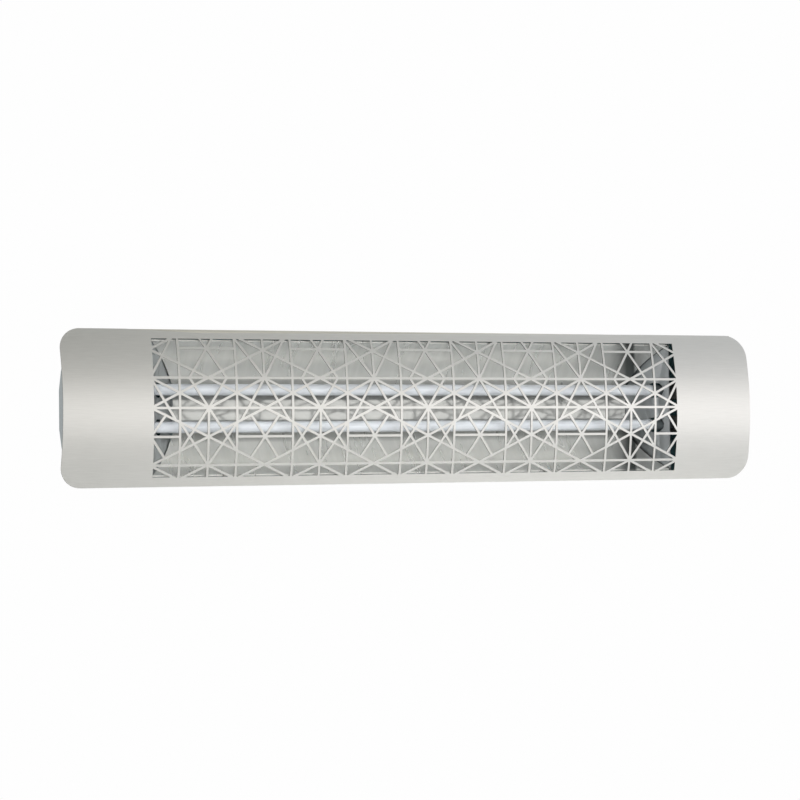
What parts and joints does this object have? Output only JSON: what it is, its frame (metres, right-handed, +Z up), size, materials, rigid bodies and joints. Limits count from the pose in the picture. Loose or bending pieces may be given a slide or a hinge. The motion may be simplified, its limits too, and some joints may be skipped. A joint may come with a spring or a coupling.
{
  "type": "electric bar heater",
  "caption": "Infrared bar heater: bent stainless fascia with a star-lattice guard, quartz tubes before a polished reflector, and a folded housing that tilts on wall brackets.",
  "frame": {"origin": "on the wall plane, midway between the two wall brackets and level with their pivots", "axes": "+X along the heater to its right end as seen from the front, -Y out of the wall through the front, +Z up"},
  "size_m": [1.0136, 0.159, 0.208],
  "materials": {
    "brushed_fascia": "stainless sheet, fine brushed grain",
    "housing_steel": "satin sheet steel",
    "reflector": "bright rolled aluminium",
    "quartz": "milky drawn quartz",
    "coil_wire": "oxidised resistance wire",
    "ceramic": "unglazed steatite",
    "lead_sleeve": "woven glass sleeve",
    "earth_sleeve": "silicone sleeve",
    "brass": "turned",
    "gland_nylon": "moulded nylon",
    "bracket_steel": "satin bent steel",
    "fasteners": "plain stainless"
  },
  "bodies": {
    "wall_side": {"wall_bracket_left": "bracket_steel", "wall_bracket_right": "bracket_steel", "pivot_bolt_left": "fasteners", "pivot_bolt_right": "fasteners", "pivot_washer_left": "fasteners", "pivot_washer_right": "fasteners", "pivot_nut_left": "fasteners", "pivot_nut_right": "fasteners"},
    "heater": {"front_fascia": "brushed_fascia", "fascia_nut_left_lower": "fasteners", "fascia_nut_left_upper": "fasteners", "fascia_nut_right_lower": "fasteners", "fascia_nut_right_upper": "fasteners", "housing": "housing_steel", "end_cap_left": "housing_steel", "end_cap_right": "housing_steel", "end_cap_screw_left_lower": "fasteners", "end_cap_screw_left_upper": "fasteners", "end_cap_screw_right_lower": "fasteners", "end_cap_screw_right_upper": "fasteners", "reflector_wing_upper": "reflector", "reflector_wing_lower": "reflector", "reflector_back_panel": "reflector", "reflector_end_plate_left": "reflector", "reflector_end_plate_right": "reflector", "reflector_screw_left": "fasteners", "reflector_screw_right": "fasteners", "element_carrier_left": "housing_steel", "element_carrier_right": "housing_steel", "carrier_screw_left_lower": "fasteners", "carrier_screw_left_upper": "fasteners", "carrier_screw_right_lower": "fasteners", "carrier_screw_right_upper": "fasteners", "ceramic_holder_left_lower": "ceramic", "ceramic_holder_left_upper": "ceramic", "ceramic_holder_right_lower": "ceramic", "ceramic_holder_right_upper": "ceramic", "quartz_tube_lower": "quartz", "quartz_tube_upper": "quartz", "heating_coil_lower": "coil_wire", "heating_coil_upper": "coil_wire", "lead_lower": "lead_sleeve", "lead_upper": "lead_sleeve", "link_lead": "lead_sleeve", "earth_lead": "earth_sleeve", "terminal_block": "ceramic", "earth_screw": "brass", "gland_body": "gland_nylon", "gland_dome_nut": "gland_nylon", "gland_lock_nut": "gland_nylon", "swivel_bracket_left": "bracket_steel", "swivel_bracket_right": "bracket_steel", "swivel_screw_left_lower": "fasteners", "swivel_screw_left_upper": "fasteners", "swivel_screw_right_lower": "fasteners", "swivel_screw_right_upper": "fasteners"}
  },
  "joints": [
    {"name": "tilt", "type": "hinge", "parent": "wall_side", "child": "heater", "pos_m": [0, -0.05, 0], "axis": [1, 0, 0], "range_deg": [0, 45]}
  ]
}
